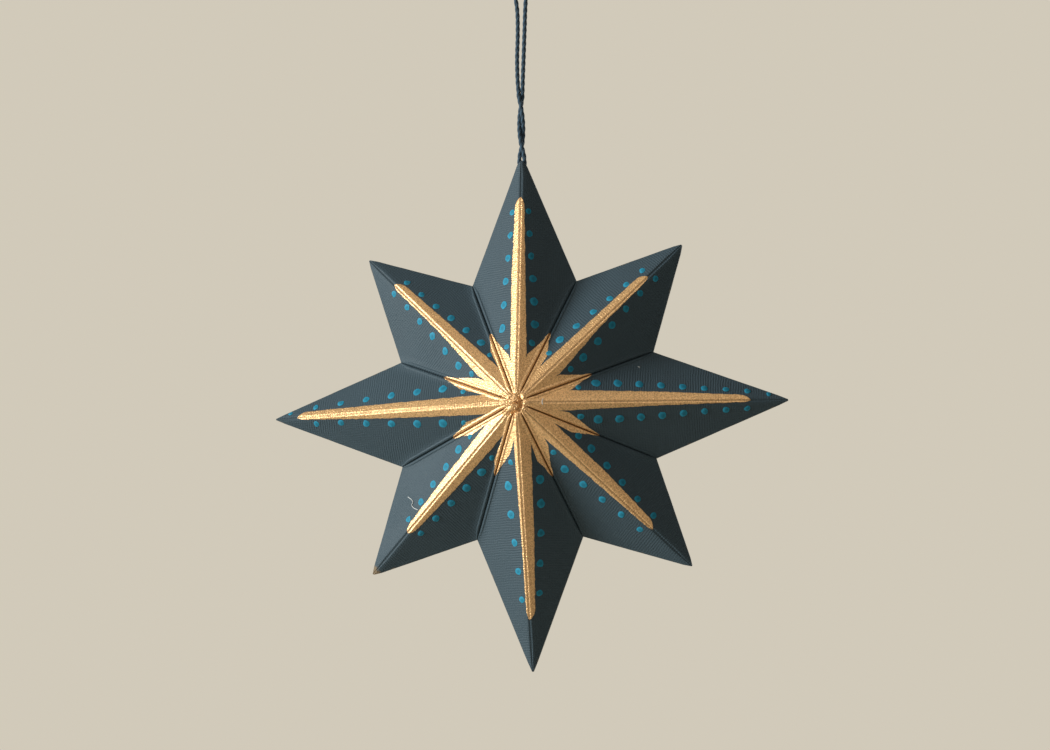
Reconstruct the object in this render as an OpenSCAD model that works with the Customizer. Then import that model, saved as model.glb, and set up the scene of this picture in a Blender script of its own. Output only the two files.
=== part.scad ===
/* [Star] */
// Radius of the four long points, from the centre to the sharp tip
long_point_r = 86; // [76:1:100]
// Radius of the four short points, from the centre to the sharp tip
short_point_r = 75; // [64:1:90]
// Radius of the eight notches between the points
notch_r = 45.5; // [38:0.5:52]
// Height of each half's peak above the seam
peak_h = 23.5; // [16:0.5:30]
// Thickness of the card
card_t = 1; // [0.9:0.05:1.4]
// Height of each half's upright edge at the seam
edge_h = 0.6; // [0.5:0.05:0.7]
// Softening of the card's cut edge at the seam
edge_round = 0.15; // [0.05:0.05:0.25]
// How far each free tip is worn back from its sharp point
tip_wear = 0.9; // [0.4:0.1:2]
// Radius of the rounded nub at the peak
nub_r = 3; // [2:0.25:5]
// How far the nub's crown sits below the sharp peak
nub_drop = 0.35; // [0.1:0.05:0.7]

/* [Folds] */
// Width of the pressed channel along each ridge fold
ridge_fold_w = 1.3; // [0.8:0.1:1.6]
// Depth of the channel below its two shoulders
ridge_fold_d = 0.3; // [0.1:0.05:0.35]
// Width over the two raised lips of each valley fold
valley_fold_w = 2.6; // [1.6:0.1:3.4]
// Height of the lips above the facets
valley_lip_h = 0.22; // [0.1:0.02:0.4]
// Depth of the groove between the lips
valley_groove_d = 0.15; // [0.05:0.05:0.4]

/* [Gold starburst] */
// Thickness of the gold paint layer
gold_t = 0.12; // [0.08:0.01:0.25]
// Reach of the rays along the long points
gold_long_reach = 73; // [60:0.5:75]
// Reach of the rays along the short points
gold_short_reach = 59; // [48:0.5:62]
// Reach of the small rays along the valleys
gold_valley_reach = 26.5; // [20:0.5:32]
// Radius where neighbouring rays part
gold_corner_r = 16.2; // [14:0.1:17]
// Width of a ridge ray halfway along
gold_mid_w = 5.4; // [4:0.1:6.5]
// Width of a ridge ray at its rounded end
gold_end_w = 2.4; // [1.8:0.1:3]
// How far the most uneven ridge ray strays to one side halfway along
gold_stray = 1; // [0:0.1:1.4]

/* [Teal dots] */
// Diameter of the largest dots
dot_d = 2.8; // [2:0.1:3.2]
// Thickness of a dot
dot_t = 0.2; // [0.1:0.02:0.3]
// How far the most uneven row of dots strays outwards
dot_stray = 1; // [0:0.1:1.2]

/* [Hanging cord] */
// Diameter of the twine
cord_d = 1.2; // [1:0.05:1.25]
// Clearance around the twine in the channel at the top tip
cord_clear = 0.02; // [0.01:0.01:0.05]
// How far the top tip is cut back to let the twine out
cord_tip_cut = 2.4; // [1.6:0.1:3]
// Length of the channel below the sharp top tip
cord_channel_l = 9; // [8:0.5:12]

/* [Hidden] */

// The loop hangs from the origin: the sharp top tip and the star's centre lie below it
top_tip_z = -69;
centre_z = top_tip_z - long_point_r;

// Sixteen fold lines run out from the peak: ridges at even numbers, valleys at odd ones
fold_count = 16;
fold_step = 360 / fold_count;
first_fold = 90;

// Outline radius at a fold line
function outline_r(i) = i % 2 == 1 ? notch_r : (i % 4 == 0 ? long_point_r : short_point_r);
function fold_angle(i) = first_fold + fold_step * i;
function fold_dir(i) = [cos(fold_angle(i)), sin(fold_angle(i))];
function outline_point(i) = outline_r(i) * fold_dir(i);

// Distance from the centre to the outline's edge beside a point of the given radius
function edge_distance(point_r) =
    point_r * notch_r * sin(fold_step) / norm([point_r - notch_r * cos(fold_step), notch_r * sin(fold_step)]);

// Rise of the facets, and their fall straight away from a ridge
rise = peak_h - edge_h;
function facet_slope(point_r) = rise / edge_distance(point_r);
function side_slope(point_r) =
    facet_slope(point_r) * (point_r - notch_r * cos(fold_step))
    / norm([point_r - notch_r * cos(fold_step), notch_r * sin(fold_step)]);
steepest = max(facet_slope(long_point_r), facet_slope(short_point_r));

// Straight down through the card on the steepest facets
card_drop = card_t * sqrt(1 + steepest * steepest);
hollow_share = (peak_h - card_drop) / rise;

// The folds grow from nothing at the nub to their full width where they stop crowding each other
fold_crowding = 0.75;
full_fold_share =
    (valley_fold_w / (2 * short_point_r) + ridge_fold_w / (2 * notch_r)) / (sin(fold_step) * fold_crowding);
tip_fade_l = 8;
tip_fade_share = 1 - tip_fade_l / long_point_r;
tip_fold_scale = 0.3;

// Each ring of the star's surface: share of the outline, and scale of the folds there
nub_share = nub_r / long_point_r;
NUB_RINGS = [0.4, 0.75, 1];
RINGS = [
    for (k = NUB_RINGS) [k * nub_share, k * nub_share / full_fold_share],
    [full_fold_share, 1],
    [tip_fade_share, 1]
];

// The crown is lowered into a dome that meets the facets at the nub's edge
function crown_drop(share) = share >= nub_share ? 0 : nub_drop * (1 - pow(share / nub_share, 2));
function level(share) = peak_h - rise * share - crown_drop(share);

// A fold's section: offset from its line and height over the facets, both at full size
function ridge_section(i) = [
    [-ridge_fold_w / 2, 0],
    [0, -ridge_fold_d - side_slope(outline_r(i)) * ridge_fold_w / 2],
    [ridge_fold_w / 2, 0]
];
valley_section = [
    [-valley_fold_w / 2, 0],
    [-valley_fold_w / 4, valley_lip_h],
    [0, -valley_groove_d],
    [valley_fold_w / 4, valley_lip_h],
    [valley_fold_w / 2, 0]
];
function fold_section(i) = i % 2 == 1 ? valley_section : ridge_section(i);

// The point of a scaled outline that lies a given offset beside a fold line
function beside_fold(i, offset, share) =
    let(to = offset < 0 ? i + fold_count - 1 : i + 1)
    let(edge = outline_point(to) - outline_point(i))
    let(across = abs(edge * [-fold_dir(i).y, fold_dir(i).x]))
    share * outline_point(i) + edge * abs(offset) / across;

// All points of one ring, and the same ring moved to a fixed height
function ring_points(share, fold_scale) = [
    for (i = [0:fold_count - 1], s = fold_section(i))
        let(p = beside_fold(i, s[0] * fold_scale, share))
        [p.x, p.y, level(share) + s[1] * fold_scale]
];

// Each point's end is worn blunt, and the top one is cut back further, where the twine comes out
function wear(i) = i == 0 ? cord_tip_cut : tip_wear;
function end_half_w(i) = wear(i) * notch_r * sin(fold_step) / (outline_r(i) - notch_r * cos(fold_step));
function end_point(i, side) =
    (outline_r(i) - wear(i)) * fold_dir(i) + side * end_half_w(i) * [-fold_dir(i).y, fold_dir(i).x];

// The outermost ring, along the card's edge
function end_height(i, s) =
    s[0] == 0 ? level(1 - wear(i) / outline_r(i)) + s[1] * tip_fold_scale : edge_h;
rim_points = [
    for (i = [0:fold_count - 1], s = fold_section(i))
        let(p = i % 2 == 1 ? beside_fold(i, s[0] * tip_fold_scale, 1) : end_point(i, sign(s[0])))
        [p.x, p.y, i % 2 == 1 ? edge_h + s[1] * tip_fold_scale : end_height(i, s)]
];

// A ring of the card's corners alone, two at each blunt end and one at each notch
function plain_ring(share, height) = [
    for (i = [0:fold_count - 1], side = i % 2 == 1 ? [0] : [-1, 1])
        [each share * (i % 2 == 1 ? outline_point(i) : end_point(i, side)), height]
];

// Faces that join stacked rings, a fan at the peak, and a flat cap below
function wall_faces(first, count, rings) = [
    for (r = [0:rings - 2], j = [0:count - 1])
        let(a = first + r * count + j)
        let(b = first + r * count + (j + 1) % count)
        each [[a, b, b + count], [a, b + count, a + count]]
];
function fan_faces(first, count) = [for (j = [0:count - 1]) [0, first + (j + 1) % count, first + j]];
function cap_face(first, count) = [[for (j = [0:count - 1]) first + j]];
function flipped(faces) = [for (f = faces) [for (k = [len(f) - 1:-1:0]) f[k]]];

// The cut edge from a blunt end to a notch: four places along its top, over two along its foot
function edge_patch(top, foot) = [
    [top[0], top[1], foot[0]],
    [top[1], foot[1], foot[0]],
    [top[1], top[2], foot[1]],
    [top[2], top[3], foot[1]]
];

// A ridge and the valley after it take a fixed number of points on each ring
ridge_folds = 3;
valley_folds = 5;
pair_folds = ridge_folds + valley_folds;
pair_corners = 3;
pairs = fold_count / 2;
ring_count = pairs * pair_folds;
corner_count = pairs * pair_corners;

// One hollow half, seam at z = 0 and peak up
module whole_half() {
    edge_share = 1 - edge_round / edge_distance(long_point_r);
    rings = [for (r = RINGS) ring_points(r[0], r[1]), rim_points];
    rim = 1 + (len(rings) - 1) * ring_count;
    plain = rim + ring_count;
    seam = plain + corner_count;
    inside = seam + corner_count;
    inner_peak = inside + fold_count;
    polyhedron(
        [
            [0, 0, level(0)],
            for (r = rings) each r,
            each plain_ring(1, edge_round),
            each plain_ring(edge_share, 0),
            for (i = [0:fold_count - 1]) [each hollow_share * outline_point(i), 0],
            [0, 0, peak_h - card_drop]
        ],
        [
            each fan_faces(1, ring_count),
            each wall_faces(1, ring_count, len(rings)),
            for (k = [0:pairs - 1])
                let(next = (k + 1) % pairs)
                let(a = rim + k * pair_folds)
                let(b = plain + k * pair_corners)
                let(c = seam + k * pair_corners)
                let(d = inside + 2 * k)
                each [
                    [a, a + 1, a + 2],
                    [a, a + 2, b + 1, b],
                    each edge_patch([a + 2, a + 3, a + 4, a + 5], [b + 1, b + 2]),
                    each flipped(edge_patch(
                        [rim + next * pair_folds, a + 7, a + 6, a + 5],
                        [plain + next * pair_corners, b + 2]
                    )),
                    [c, c + 1, d],
                    [c + 1, c + 2, d + 1, d],
                    [c + 2, seam + next * pair_corners, inside + 2 * next, d + 1]
                ],
            each wall_faces(plain, corner_count, 2),
            for (i = [0:fold_count - 1]) [inside + i, inside + (i + 1) % fold_count, inner_peak]
        ]
    );
}

// The flat channel that the two strands of twine leave the top tip through
strand_spread = 1;
channel_w = 2 * strand_spread + cord_d + 2 * cord_clear;
module cord_channel() {
    channel_t = cord_d + 2 * cord_clear;
    translate([-channel_w / 2, long_point_r - cord_channel_l, -channel_t / 2])
        cube([channel_w, cord_channel_l, channel_t]);
}

// One folded card half, in its own lying position
module star_half() {
    difference() {
        whole_half();
        cord_channel();
    }
}

// Stands a lying half up, peak towards the front
module to_front() {
    translate([0, 0, centre_z])
        rotate([90, 0, 0])
            children();
}

// Stands a lying half up, peak towards the back
module to_back() {
    translate([0, 0, centre_z])
        rotate([90, 0, 180])
            children();
}

module front_shell() {
    color("#26323c")
        to_front()
            star_half();
}

module back_shell() {
    color("#222c35")
        to_back()
            star_half();
}

// Height of the card's outer face beside fold line i, at a place along and across it
function across_dir(i) = [-fold_dir(i).y, fold_dir(i).x];
function facet_out(i, side) =
    let(edge = outline_point(i + fold_count + side) - outline_point(i))
    side * [edge.y, -edge.x] / norm(edge);
function facet_share(i, along, across) =
    let(place = along * fold_dir(i) + across * across_dir(i))
    place * facet_out(i, across < 0 ? -1 : 1)
    / edge_distance(i % 2 == 0 ? outline_r(i) : outline_r(i + (across < 0 ? -1 : 1)));
function card_height(i, along, across) =
    level(facet_share(i, along, across)) + lookup(across, fold_section(i));

// Unevenness of the hand-painted rays: how much longer or shorter each is than its kind
ray_change = [-1, 1, 2.5, 0.5, 4, -1.5, -3, -1.5, -4.5, -1.5, -1.5, 0.5, 0.5, -1, 0.5, 0.5];
function ray_reach(i) =
    ray_change[i]
    + (i % 2 == 1 ? gold_valley_reach : (i % 4 == 0 ? gold_long_reach : gold_short_reach));

// Share of the stray that each ridge ray takes, counter-clockwise positive
ray_lean = [0.4, -1, -0.4, 0, 1, 1, 1, 1];

// Where neighbouring rays part: the turn from halfway between fold lines, as a share of the step
parting_turn = [-0.1, -0.2, -0.1, -0.2, 0.2, -0.2, 0.2, 0.2, 0.2, 0.1, 0.2, 0, 0.1, 0, 0.1, 0.1];
function parting(i, side) =
    let(turn = parting_turn[(i + (side < 0 ? fold_count - 1 : 0)) % fold_count])
    let(angle = fold_step * (side / 2 + turn))
    gold_corner_r * [cos(angle), sin(angle)];

// One ray's edge as places along and across its fold line, with a place on each line of the fold
end_lean = 0.9;
function ridge_ray(reach, lean) =
    let(end_r = gold_end_w / 2)
    let(hit = ridge_fold_w / 2)
    let(shift = lean * end_lean * (end_r - hit))
    let(mid = lean * gold_stray)
    [
        [reach / 2, mid - gold_mid_w / 2],
        [reach - end_r, shift - end_r],
        for (q = [-hit, 0, hit]) [reach - end_r + sqrt(end_r * end_r - (q - shift) * (q - shift)), q],
        [reach - end_r, shift + end_r],
        [reach / 2, mid + gold_mid_w / 2]
    ];
function valley_ray(reach, i) = [
    for (s = valley_section)
        let(corner = parting(i, s[0] < 0 ? -1 : 1))
        [reach - (reach - corner[0]) * s[0] / corner[1], s[0]]
];
function ray_edge(i) =
    i % 2 == 1 ? valley_ray(ray_reach(i), i) : ridge_ray(ray_reach(i), ray_lean[i / 2]);
function on_card(i, p, lift) =
    let(place = p[0] * fold_dir(i) + p[1] * across_dir(i))
    [place.x, place.y, card_height(i, p[0], p[1]) + lift];

// The paint's face, from the peak out to the rays' edges, at a given lift off the card
PAINT_RINGS = [for (k = [0:len(NUB_RINGS)]) RINGS[k]];
function paint_points(lift) = [
    [0, 0, level(0) + lift],
    for (r = PAINT_RINGS) for (p = ring_points(r[0], r[1])) p + [0, 0, lift],
    for (i = [0:fold_count - 1]) each [
        for (p = ray_edge(i)) on_card(i, p, lift),
        on_card(i, parting(i, 1), lift)
    ]
];

// A ridge and the valley after it take a fixed number of points on the paint's edge too
ridge_edge = 7;
ridge_lead = 2;
pair_edge = ridge_edge + 1 + valley_folds + 1;

// Paint on one facet, from the ring at the peak (a, b) out to the valley ray v, the parting p,
// and the ridge ray's middle m, shoulder e and end h
function facet_patch(a, b, v, p, m, e, h) = [[a, b, v], [a, v, p], [a, p, m], [a, m, h], [m, e, h]];

module gold_starburst() {
    inner = 1 + (len(PAINT_RINGS) - 1) * ring_count;
    outer = inner + ring_count;
    edge_count = pairs * pair_edge;
    skin = [
        each fan_faces(1, ring_count),
        each wall_faces(1, ring_count, len(PAINT_RINGS)),
        for (k = [0:pairs - 1])
            let(a = inner + k * pair_folds)
            let(b = outer + k * pair_edge)
            let(a_next = inner + (k + 1) % pairs * pair_folds)
            let(b_next = outer + (k + 1) % pairs * pair_edge)
            let(v = b + ridge_edge + 1)
            each [
                for (j = [0:ridge_folds - 2])
                    [a + j, a + j + 1, b + ridge_lead + j + 1, b + ridge_lead + j],
                for (j = [0:valley_folds - 2])
                    [a + ridge_folds + j, a + ridge_folds + j + 1, v + j + 1, v + j],
                each facet_patch(
                    a + ridge_folds - 1, a + ridge_folds, v,
                    b + ridge_edge, b + ridge_edge - 1, b + ridge_edge - 2, b + ridge_edge - 1 - ridge_lead
                ),
                each flipped(facet_patch(
                    a_next, a + pair_folds - 1, v + valley_folds - 1,
                    b + pair_edge - 1, b_next, b_next + 1, b_next + ridge_lead
                ))
            ]
    ];
    total = outer + edge_count;
    rim = [
        for (q = [0:edge_count - 1])
            let(c = outer + q)
            let(d = outer + (q + 1) % edge_count)
            [c, d, d + total, c + total]
    ];
    color("#c88a3c")
        to_front()
            polyhedron(
                [each paint_points(gold_t), each paint_points(0)],
                [each skin, each rim, each flipped([for (f = skin) [for (q = f) q + total]])]
            );
}

// Rows of dots: ridge, side, start beyond the rays' parting, end back from the tip, number, stray
DOT_ROWS = [
    [0, 1, 2.8, 20.5, 7, 0.1], [0, -1, 3.8, 20.5, 7, -0.5],
    [2, 1, 2.3, 16, 7, -0.6], [2, -1, 2.3, 16.5, 7, 0.8],
    [4, 1, 2.3, 15.5, 7, -0.7], [4, -1, 2.3, 6, 8, 1],
    [6, 1, 2.3, 22, 6, 0.3], [6, -1, 2.3, 22.5, 6, 0],
    [8, 1, 7.8, 26, 5, 0.2], [8, -1, 2.3, 24, 6, -0.9],
    [10, 1, 4.3, 20.5, 6, 0.4], [10, -1, 2.3, 20.5, 6, 0],
    [12, 1, 2.8, 7, 10, 0.9], [12, -1, 3.3, 14, 9, -0.1],
    [14, 1, 2.3, 16, 7, 0.4], [14, -1, 3.3, 15, 7, -1]
];
dot_sides = 12;

// A row opens from where the rays part, then closes in with a long point's outline towards the tip
start_bow = [[2.3, 4.1], [4.3, 4.9], [8.3, 5.5], [12, 5.6]];
tip_bow = [[6, 0.65], [14, 0.47], [22, 0.34], [30, 0.295], [44, 0.27], [58, 0.24]];
tip_width = notch_r * sin(fold_step) / (long_point_r - notch_r * cos(fold_step));
parting_pull = [[2.3, 0.8], [8, 0]];
stray_grows = [[2.3, 0], [8, 1]];
stray_fades = [[6, 0.2], [22, 1]];
function row_across(i, side, along, stray) =
    let(back = outline_r(i) - along)
    let(on = along - gold_corner_r)
    let(parting_shift = side * parting(i, side)[1] - gold_corner_r * sin(fold_step / 2))
    min(lookup(on, start_bow), lookup(back, tip_bow) * tip_width * back)
    + parting_shift * lookup(on, parting_pull)
    + stray * dot_stray * min(lookup(on, stray_grows), lookup(back, stray_fades));

// Size of a dot as a share of the largest: small at the start, then full, then smaller to the tip
start_size = [[2.3, 0.54], [4.3, 0.66], [8.8, 1]];
tip_size = [[6, 0.5], [14, 0.66], [26, 0.74], [46, 0.88], [60, 1]];
function dot_size(i, along) =
    dot_d * min(lookup(along - gold_corner_r, start_size), lookup(outline_r(i) - along, tip_size));

// Lays a disc flat on the facet beside ridge i
module on_facet(i, side, along, across) {
    out = facet_out(i, side);
    place = along * fold_dir(i) + side * across * across_dir(i);
    translate([place.x, place.y, level(facet_share(i, along, side * across))])
        rotate([0, atan(facet_slope(outline_r(i))), atan2(out.y, out.x)])
            children();
}

// The first gap in a row is a little shorter than the rest
first_gap = 0.8;
module teal_dots() {
    color("#1f8fb0")
        to_front()
            for (row = DOT_ROWS, k = [0:row[4] - 1]) {
                start = gold_corner_r + row[2];
                end = outline_r(row[0]) - row[3];
                share = max(0, k - 1 + first_gap) / (row[4] - 2 + first_gap);
                along = start + (end - start) * (k == 0 ? 0 : share);
                on_facet(row[0], row[1], along, row_across(row[0], row[1], along, row[5]))
                    cylinder(h = dot_t, d = dot_size(row[0], along), $fn = dot_sides);
            }
}

// The twine's route: out of the top tip, once round itself, up round the loop and back
CORD_ROUTE = [
    [-0.7, 0, -82], [-0.7, 0, -78], [-0.9, 0, -74], [-1, 0, -71], [-0.7, 0.3, -68.5],
    [0, 0.65, -66], [0.5, 0.4, -62.5], [0.65, 0, -59], [0.5, -0.4, -55.5], [0, -0.65, -52],
    [-0.5, -0.4, -49.5], [-0.7, 0, -47], [-0.9, 0, -43], [-0.9, 0, -36], [-0.5, 0, -27],
    [-0.6, 0, -18], [-2.2, 0, -9], [-3.4, 0, -3], [-2.4, 0, -0.4], [0, 0, 0.6],
    [2.4, 0, -0.4], [3.4, 0, -3], [3.1, 0, -9], [2.3, 0, -18], [1.8, 0, -27],
    [1.3, 0, -36], [0.9, 0, -43], [0.7, 0, -47], [0.5, 0.4, -49.5], [0, 0.65, -52],
    [-0.5, 0.4, -55.5], [-0.65, 0, -59], [-0.5, -0.4, -62.5], [0, -0.65, -66], [0.7, -0.3, -68.5],
    [1, 0, -71], [0.9, 0, -74], [0.7, 0, -78], [0.7, 0, -82]
];
cord_sides = 8;
cord_parts = 2;

// A smooth curve through the route's points
function route_at(k) = CORD_ROUTE[max(0, min(len(CORD_ROUTE) - 1, k))];
function curve_at(k, t) =
    let(a = route_at(k - 1))
    let(b = route_at(k))
    let(c = route_at(k + 1))
    let(d = route_at(k + 2))
    b + t * (c - a) / 2 + t * t * (a - 2.5 * b + 2 * c - d / 2)
    + t * t * t * (-a + 3 * b - 3 * c + d) / 2;
function unit(v) = v / norm(v);

module hanging_cord() {
    last = len(CORD_ROUTE) - 1;
    centres = [
        for (k = [0:last - 1], j = [0:cord_parts - 1]) curve_at(k, j / cord_parts),
        CORD_ROUTE[last]
    ];
    n = len(centres);
    ways = [for (k = [0:n - 1]) unit(centres[min(k + 1, n - 1)] - centres[max(k - 1, 0)])];
    points = [
        for (k = [0:n - 1], j = [0:cord_sides - 1])
            let(side = unit(cross([0, 1, 0], ways[k])))
            let(front = cross(ways[k], side))
            let(a = -360 * (j + 0.5) / cord_sides)
            centres[k] + cord_d / 2 * (side * cos(a) + front * sin(a))
    ];
    color("#18283a")
        polyhedron(points, [
            each wall_faces(0, cord_sides, n),
            each cap_face((n - 1) * cord_sides, cord_sides),
            each flipped(cap_face(0, cord_sides))
        ]);
}

front_shell();
back_shell();
gold_starburst();
teal_dots();
hanging_cord();
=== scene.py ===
"""A hollow eight-point star of folded dark card, painted gold and teal, hung by doubled twine.

All lengths are in metres. Shapes are worked out lying down: x to the right, y up the star and the
height towards the viewer. Each half is then stood up, the front one facing -Y.
"""

import math

import bpy
from bpy.props import FloatProperty, FloatVectorProperty, PointerProperty
from mathutils import Matrix, Vector


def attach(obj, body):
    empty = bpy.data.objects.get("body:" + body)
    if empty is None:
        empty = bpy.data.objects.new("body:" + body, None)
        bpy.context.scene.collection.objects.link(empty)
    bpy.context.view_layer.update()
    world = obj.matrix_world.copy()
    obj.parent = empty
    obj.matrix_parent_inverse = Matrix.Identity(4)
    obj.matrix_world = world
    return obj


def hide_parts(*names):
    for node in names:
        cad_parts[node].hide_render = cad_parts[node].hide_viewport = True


bl_info = {
    "name": "Folded Card Star",
    "version": (1, 0, 0),
    "blender": (4, 5, 0),
    "location": "View3D > Sidebar > Card Star",
    "description": "Builds a hanging star of folded card with painted rays, dots and a twine loop",
    "category": "Add Mesh",
}

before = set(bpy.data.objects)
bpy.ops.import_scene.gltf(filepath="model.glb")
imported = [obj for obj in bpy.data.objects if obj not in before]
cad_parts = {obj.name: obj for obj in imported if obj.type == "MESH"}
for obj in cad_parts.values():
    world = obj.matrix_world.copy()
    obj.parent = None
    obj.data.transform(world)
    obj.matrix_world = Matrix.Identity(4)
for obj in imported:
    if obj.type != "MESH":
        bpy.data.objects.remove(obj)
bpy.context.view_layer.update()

MM = 0.001
TINY = 0.01 * MM
FOLDS = 16
STEP = 2 * math.pi / FOLDS
QUARTER_TURN = math.pi / 2
CENTRE_HEIGHT = -0.155
FACING_FRONT = (QUARTER_TURN, 0.0, 0.0)
FACING_BACK = (QUARTER_TURN, 0.0, math.pi)
BODY = "root"

# The folds: each ridge's pressed line and the painted shade along it, each valley's lips and groove
RIDGE_HALF = 0.65 * MM
RIDGE_DEPTH = 0.5 * MM
RIDGE_SHADE_HALF = 0.3 * MM
VALLEY_HALF = 1.3 * MM
VALLEY_LIP = 0.42 * MM
VALLEY_GROOVE = 0.5 * MM
LIP_SHARPNESS = 2.2
GROOVE_SHARPNESS = 3.6

# Where the folds reach their depth and where they fade, as shares of the way from the peak to
# the cut edge, and how much of their depth the tips keep
FULL_FOLD = 0.11
TIP_FADE = 0.907
TIP_FOLDS = 0.3

# The crumpled nub, a little left of the centre. Its crease is a ring, counted in nub radii.
NUB_RADIUS = 3.1 * MM
NUB_RISE = 0.7 * MM
NUB_LEFT = 2.0 * MM
NUB_SINK = 0.3 * MM
NUB_CREASE = 0.75 * MM
NUB_RING = 1.15
NUB_RING_HALF = 0.3
CRUMPLE_RADIUS = 8.0 * MM
CRUMPLE_FOLD = 1.5
CRUMPLE_LEVEL = 0.26

# One strand of the twine in millimetres, from its end inside the top point and round the other
# strand, then the loop. The other strand comes back down the same way, half a turn round.
STRAND = [
    (-0.7, 0, -82), (-0.7, 0, -78), (-0.8, 0, -74), (-0.85, 0, -71), (-0.6, 0.35, -68.5),
    (0, 0.65, -66), (0.5, 0.4, -62.5), (0.65, 0, -59), (0.5, -0.4, -55.5), (0, -0.65, -52),
    (-0.5, -0.4, -49.5), (-0.7, 0, -47), (-0.9, 0, -43),
]
LOOP = [
    (-0.9, 0, -36), (-0.5, 0, -27), (-0.6, 0, -18), (-2.2, 0, -9), (-3.4, 0, -3),
    (-2.4, 0, -0.5), (0, 0, 0.35), (2.4, 0, -0.5),
    (3.4, 0, -3), (3.1, 0, -9), (2.3, 0, -18), (1.8, 0, -27), (1.3, 0, -36),
]
TWINE_ROUTE = [*STRAND, *LOOP, *((-x, -y, z) for x, y, z in reversed(STRAND))]

# Hand-painted rays in millimetres, from the top fold round. Each has its reach, and its half-widths
# on the clockwise and the counter-clockwise side where it starts, at its middle and near its end.
RAYS = [
    (70.6, (2.8, 2.0, 1.2), (2.4, 2.7, 2.0)),
    (26.4, (3.3, 2.0, 0.9), (3.2, 2.0, 0.9)),
    (61.0, (4.0, 3.2, 2.2), (2.4, 1.0, 0.9)),
    (28.2, (3.2, 1.9, 0.7), (3.3, 2.0, 0.8)),
    (77.3, (3.4, 2.8, 2.0), (2.9, 2.1, 0.7)),
    (24.9, (3.2, 2.1, 0.9), (3.1, 2.0, 0.9)),
    (55.9, (3.1, 2.5, 1.6), (3.3, 2.7, 1.6)),
    (24.2, (3.2, 2.0, 0.8), (3.0, 2.0, 0.9)),
    (68.6, (1.6, 1.1, 0.9), (3.6, 3.0, 1.9)),
    (25.0, (3.2, 2.1, 0.9), (3.2, 2.0, 0.9)),
    (57.5, (2.2, 1.4, 0.7), (3.4, 3.2, 2.0)),
    (27.0, (3.3, 2.0, 0.8), (3.2, 2.1, 0.8)),
    (73.3, (2.6, 1.4, 0.6), (4.0, 3.3, 1.9)),
    (25.0, (3.2, 1.9, 0.9), (3.2, 2.0, 0.9)),
    (58.8, (2.8, 1.0, 0.6), (3.3, 2.8, 2.4)),
    (25.7, (3.2, 2.0, 0.8), (3.3, 2.1, 0.9)),
]
# Where each ray parts from the next one, counted in fold steps
PARTINGS = [
    0.39, 1.24, 2.37, 3.25, 4.70, 5.32, 6.80, 7.68,
    8.71, 9.60, 10.68, 11.50, 12.63, 13.56, 14.63, 15.57,
]

# Rows of dots: ridge, side, start beyond the corner where the rays part, end back from the tip,
# number and stray
DOT_ROWS = [
    (0, 1, 2.8, 20.5, 7, 0.1), (0, -1, 3.8, 20.5, 7, -0.5),
    (2, 1, 2.3, 16, 7, -0.6), (2, -1, 2.3, 16.5, 7, 0.8),
    (4, 1, 2.3, 15.5, 7, -0.7), (4, -1, 2.3, 6, 8, 1),
    (6, 1, 2.3, 22, 6, 0.3), (6, -1, 2.3, 22.5, 6, 0),
    (8, 1, 7.8, 26, 5, 0.2), (8, -1, 2.3, 24, 6, -0.9),
    (10, 1, 4.3, 20.5, 6, 0.4), (10, -1, 2.3, 20.5, 6, 0),
    (12, 1, 2.8, 7, 10, 0.9), (12, -1, 3.3, 14, 9, -0.1),
    (14, 1, 2.3, 16, 7, 0.4), (14, -1, 3.3, 15, 7, -1),
]
PAINT_CORNER = 16.2
WIDEST_PARTING = 0.7
# A row's first gap, as a share of its other gaps
FIRST_GAP = 0.8
# What a dot's distance past the corner or back from the tip does to its row's bow, to the pull of
# an uneven parting, to its stray and to its size
START_BOW = [(2.3, 4.1), (4.3, 4.9), (8.3, 5.5), (12, 5.6)]
TIP_BOW = [(6, 0.65), (14, 0.47), (22, 0.34), (30, 0.295), (44, 0.27), (58, 0.24)]
START_PULL = [(2.3, 0.8), (8, 0)]
STRAY_GROWS = [(2.3, 0), (8, 1)]
STRAY_FADES = [(6, 0.2), (22, 1)]
START_SIZE = [(2.3, 0.64), (4.3, 0.78), (8.8, 1)]
TIP_SIZE = [(6, 0.5), (14, 0.66), (26, 0.74), (46, 0.88), (60, 1)]

# White fibres caught on the front, as places in millimetres from the centre, and how far they
# lie above it
LINT = [
    [(-39.6, -27.6), (-38.4, -28.4), (-37.6, -29.4), (-38, -30.4), (-37.2, -31.4), (-35.6, -32.2)],
    [(8.3, 1.1), (8.1, 0.2), (8.2, -0.8)],
    [(37.5, 12.2), (37.8, 11.9), (38.0, 12.0)],
]
LINT_LIFT = 0.15
LINT_SIDES = 6


# ---- sizes and colours


def measure(name, description, default):
    return FloatProperty(name=name, description=description, default=default, unit="LENGTH")


def shade(name, description, default):
    return FloatVectorProperty(
        name=name, description=description, default=default, subtype="COLOR", size=3
    )


class StarSizes(bpy.types.PropertyGroup):
    """The folded star's own measures."""

    long_point: measure("Long Point", "Centre to an upright or level tip, before wear", 0.086)
    short_point: measure("Short Point", "Centre to a diagonal tip, before wear", 0.075)
    notch: measure("Notch", "Centre to the cut edge at each valley", 0.0455)
    peak: measure("Peak", "Height of one half at the centre, before the nub", 0.0235)
    edge: measure("Edge", "Height of the cut edge over the seam", 0.0006)
    card: measure("Card", "Thickness of the card", 0.001)
    tip_wear: measure("Tip Wear", "How far each tip is worn back", 0.0009)
    top_wear: measure("Top Wear", "How far the top tip is cut back round the twine", 0.0024)


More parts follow.
